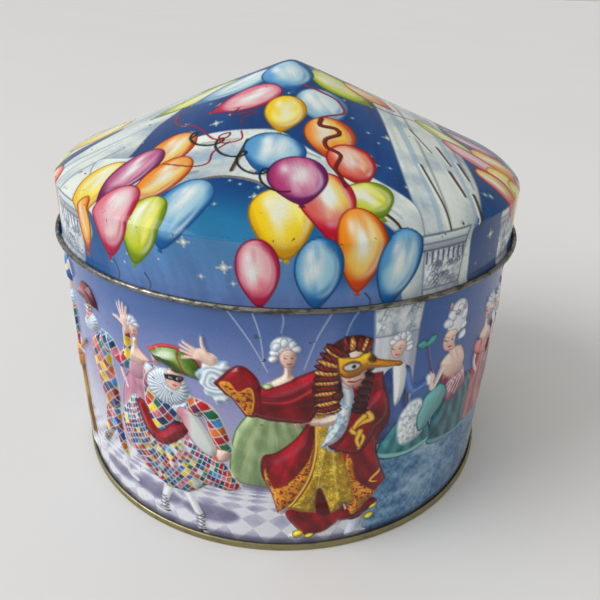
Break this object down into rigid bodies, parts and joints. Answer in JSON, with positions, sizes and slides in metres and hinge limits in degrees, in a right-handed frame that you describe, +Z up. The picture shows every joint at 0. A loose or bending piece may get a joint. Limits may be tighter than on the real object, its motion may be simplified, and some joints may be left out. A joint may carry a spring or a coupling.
{
  "type": "cookie tin",
  "caption": "Round tinplate cookie tin with a low conical lift-off lid, a rolled body with a back lock seam and a double-seamed recessed base.",
  "frame": {"origin": "middle of the foot, on the surface that the tin stands on", "axes": "+Z up the tin's axis; the middle of the printed front faces -Y and the lock seam faces +Y"},
  "size_m": [0.156, 0.156, 0.1343],
  "materials": {
    "printed_lid": "gloss litho print under varnish, with a bare steel curl",
    "printed_body": "gloss litho print under varnish on embossed tinplate, bare inside",
    "gold_lacquer": "clear gold lacquer on tinplate, worn"
  },
  "bodies": {
    "tin": {"body_wall": "printed_body", "base": "gold_lacquer"},
    "lid": {"lid": "printed_lid"}
  },
  "joints": [
    {"name": "lid_lift", "type": "slide", "parent": "tin", "child": "lid", "axis": [0, 0, 1], "range_m": [0, 0.08]}
  ]
}
